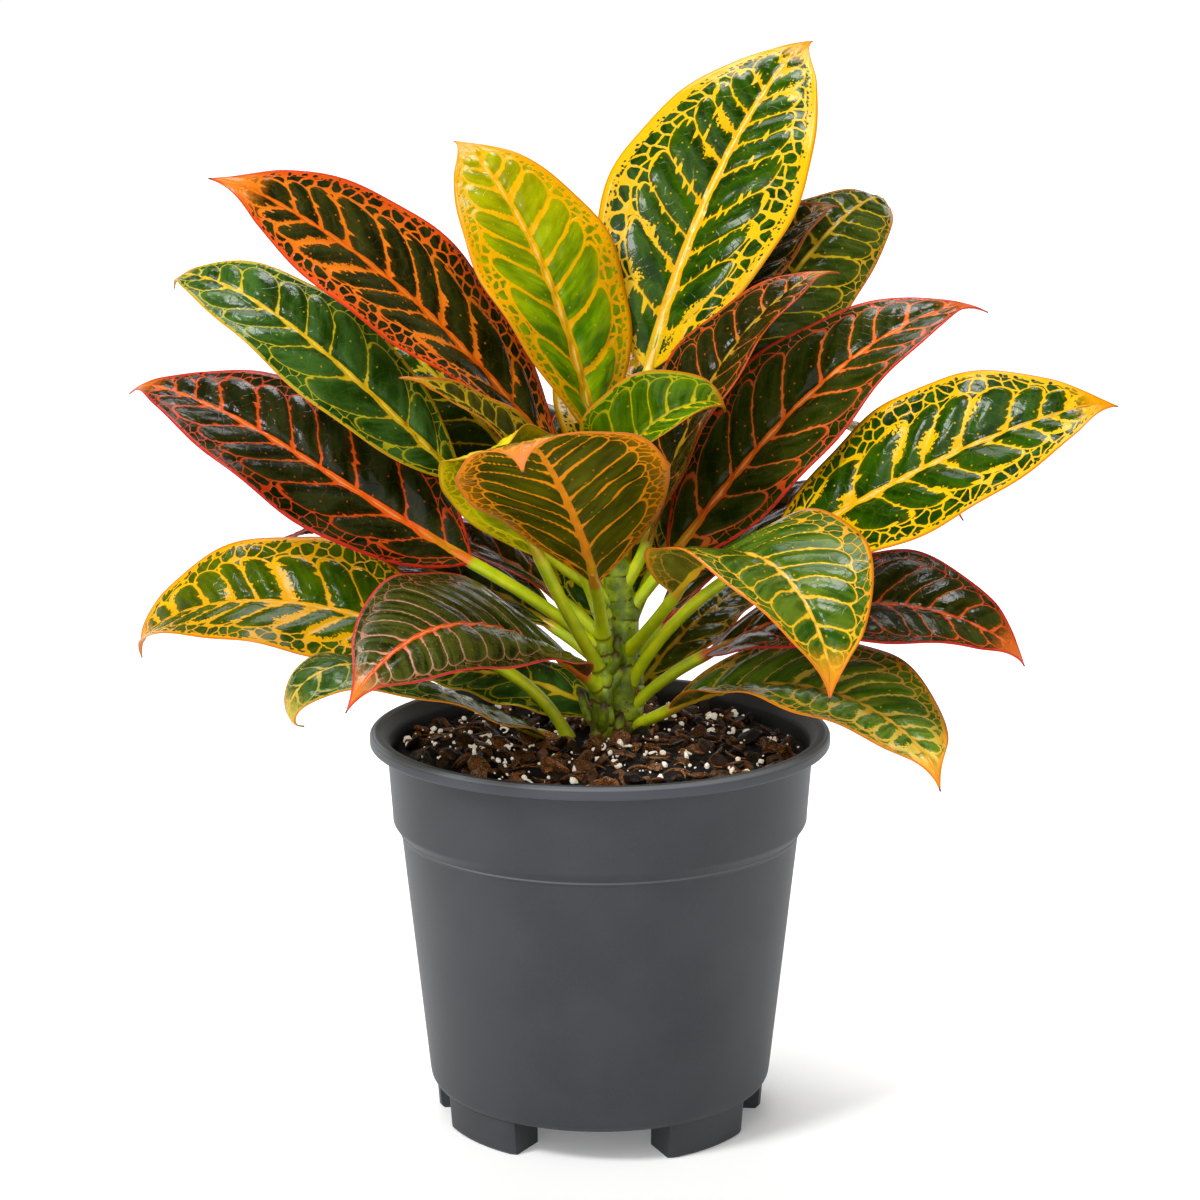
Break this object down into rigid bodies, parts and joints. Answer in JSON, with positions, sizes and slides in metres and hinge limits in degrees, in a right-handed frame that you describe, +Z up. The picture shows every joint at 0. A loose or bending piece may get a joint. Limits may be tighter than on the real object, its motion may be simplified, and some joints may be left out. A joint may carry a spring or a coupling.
{
  "type": "potted croton plant",
  "caption": "Croton with broad glossy variegated leaves in yellow, green, orange and dark red, growing from bark potting mix in a round grey nursery pot with moulded feet.",
  "frame": {"origin": "centre of the plant's bounding box, at the ground under the pot's feet", "axes": "+Z up along the pot's axis; the viewer of the front stands at -Y, +X is to the viewer's right"},
  "size_m": [0.3586, 0.2572, 0.3953],
  "materials": {
    "pot": "satin",
    "potting_mix": "matte",
    "stem": "satin",
    "leaf_yellow": "satin",
    "leaf_lime": "satin",
    "leaf_orange": "satin",
    "leaf_red": "satin",
    "leaf_olive": "satin",
    "leaf_green": "satin"
  },
  "bodies": {
    "root": {"pot": "pot", "potting_mix": "potting_mix", "main_stem": "stem", "side_shoot": "stem", "leaf_top_right": "leaf_yellow", "leaf_top_left": "leaf_lime", "leaf_left_upper": "leaf_orange", "leaf_left_green": "leaf_green", "leaf_left_red": "leaf_red", "leaf_left_yellow": "leaf_yellow", "leaf_front_left": "leaf_red", "leaf_front_centre": "leaf_olive", "leaf_young_centre": "leaf_lime", "leaf_right_upper": "leaf_green", "leaf_right_dark": "leaf_green", "leaf_right_red": "leaf_red", "leaf_right_yellow": "leaf_yellow", "leaf_front_right": "leaf_olive", "leaf_right_low": "leaf_red", "leaf_front_low_right": "leaf_olive", "leaf_low_left": "leaf_green", "leaf_behind_front": "leaf_yellow", "leaf_behind_left": "leaf_green", "leaf_left_narrow": "leaf_green", "leaf_behind_top_left": "leaf_orange", "leaf_behind_top_right": "leaf_green", "leaf_back_upper": "leaf_green", "leaf_back_left": "leaf_red", "leaf_back_right": "leaf_green", "leaf_back_low_left": "leaf_red", "leaf_back_low": "leaf_green", "leaf_back_far_right": "leaf_red", "leaf_back_far_left": "leaf_green", "leaf_inner_left": "leaf_green", "leaf_inner_right": "leaf_green", "leaf_inner_low": "leaf_green"}
  },
  "joints": []
}
